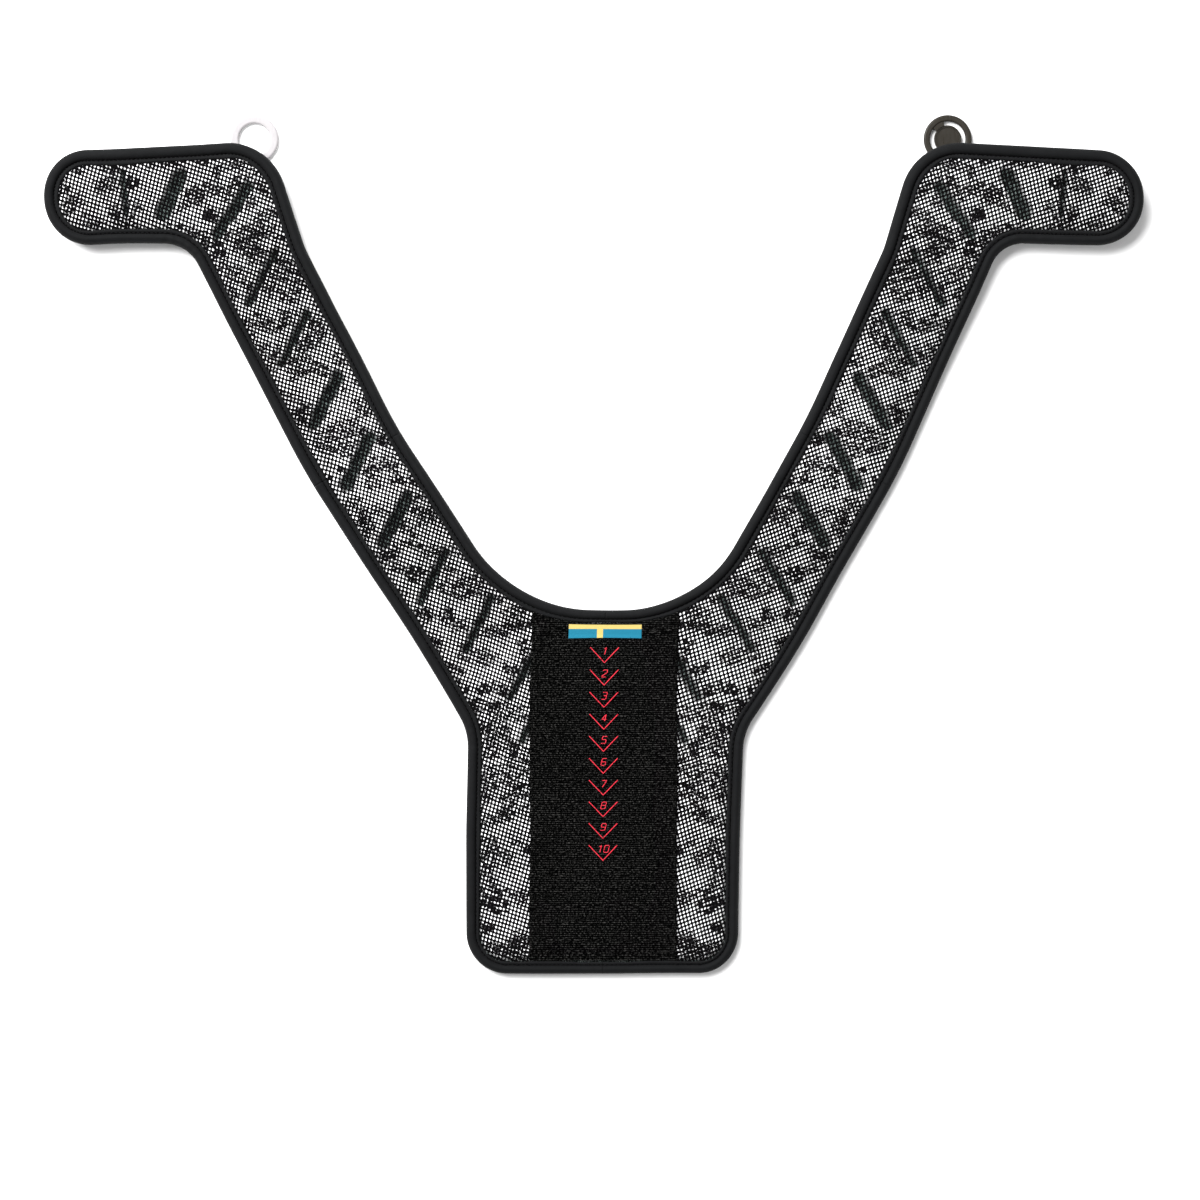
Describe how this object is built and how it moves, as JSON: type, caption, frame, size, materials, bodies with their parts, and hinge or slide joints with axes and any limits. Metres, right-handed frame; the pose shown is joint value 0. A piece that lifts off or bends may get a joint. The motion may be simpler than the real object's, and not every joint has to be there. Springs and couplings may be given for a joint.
{
  "type": "padded shoulder harness",
  "caption": "Y-shaped padded harness for a hiking pack: mesh-faced back panel and two straps that fold over the shoulders and end in outward hooks with chest clasp halves.",
  "frame": {"origin": "under the middle of the overall size, on the plane the harness lies on", "axes": "+Z out of the body-side mesh, +Y towards the strap tips, +X towards the strap with the dark clasp half"},
  "size_m": [0.7494, 0.5885, 0.0214],
  "materials": {
    "shell": "matte",
    "foam": "matte",
    "liner": "matte",
    "mesh": "satin",
    "binding": "matte",
    "loop_pile": "matte",
    "woven_tab": "satin",
    "scale_thread": "satin",
    "webbing": "matte",
    "clear_plastic": "gloss",
    "dark_plastic": "satin"
  },
  "bodies": {
    "back_panel": {"panel_shell": "shell", "panel_foam": "foam", "panel_liner": "liner", "panel_mesh": "mesh", "panel_binding_outer": "binding", "panel_binding_neck": "binding", "loop_panel": "loop_pile", "woven_tab": "woven_tab", "size_scale": "scale_thread"},
    "left_shoulder": {"left_shoulder_shell": "shell", "left_shoulder_foam": "foam", "left_shoulder_liner": "liner", "left_shoulder_mesh": "mesh", "left_shoulder_binding_inner": "binding", "left_shoulder_binding_outer": "binding"},
    "left_chest": {"left_chest_shell": "shell", "left_chest_foam": "foam", "left_chest_liner": "liner", "left_chest_mesh": "mesh", "left_chest_binding": "binding", "left_clasp_tab": "webbing"},
    "right_shoulder": {"right_shoulder_shell": "shell", "right_shoulder_foam": "foam", "right_shoulder_liner": "liner", "right_shoulder_mesh": "mesh", "right_shoulder_binding_inner": "binding", "right_shoulder_binding_outer": "binding"},
    "right_chest": {"right_chest_shell": "shell", "right_chest_foam": "foam", "right_chest_liner": "liner", "right_chest_mesh": "mesh", "right_chest_binding": "binding", "right_clasp_tab": "webbing"},
    "left_clasp": {"left_clasp_ring": "clear_plastic"},
    "right_clasp": {"right_clasp_frame": "dark_plastic", "right_clasp_disc": "dark_plastic", "right_clasp_latch": "dark_plastic"}
  },
  "joints": [
    {"name": "left_shoulder_fold", "type": "hinge", "parent": "back_panel", "child": "left_shoulder", "pos_m": [-0.13066, -0.00123, 0.01], "axis": [0.8536, 0.521, 0], "range_deg": [0, 75]},
    {"name": "left_chest_fold", "type": "hinge", "parent": "left_shoulder", "child": "left_chest", "pos_m": [-0.1967, 0.1186, 0.01], "axis": [0.9026, 0.4305, 0], "range_deg": [0, 75]},
    {"name": "right_shoulder_fold", "type": "hinge", "parent": "back_panel", "child": "right_shoulder", "pos_m": [0.13066, -0.00123, 0.01], "axis": [0.8536, -0.521, 0], "range_deg": [0, 75]},
    {"name": "right_chest_fold", "type": "hinge", "parent": "right_shoulder", "child": "right_chest", "pos_m": [0.1967, 0.1186, 0.01], "axis": [0.9026, -0.4305, 0], "range_deg": [0, 75]},
    {"name": "left_clasp_swivel", "type": "hinge", "parent": "left_chest", "child": "left_clasp", "pos_m": [-0.238, 0.25625, 0.0026], "axis": [-1, 0, 0], "range_deg": [-8, 90]},
    {"name": "right_clasp_swivel", "type": "hinge", "parent": "right_chest", "child": "right_clasp", "pos_m": [0.238, 0.25625, 0.0026], "axis": [-1, 0, 0], "range_deg": [-8, 90]}
  ]
}
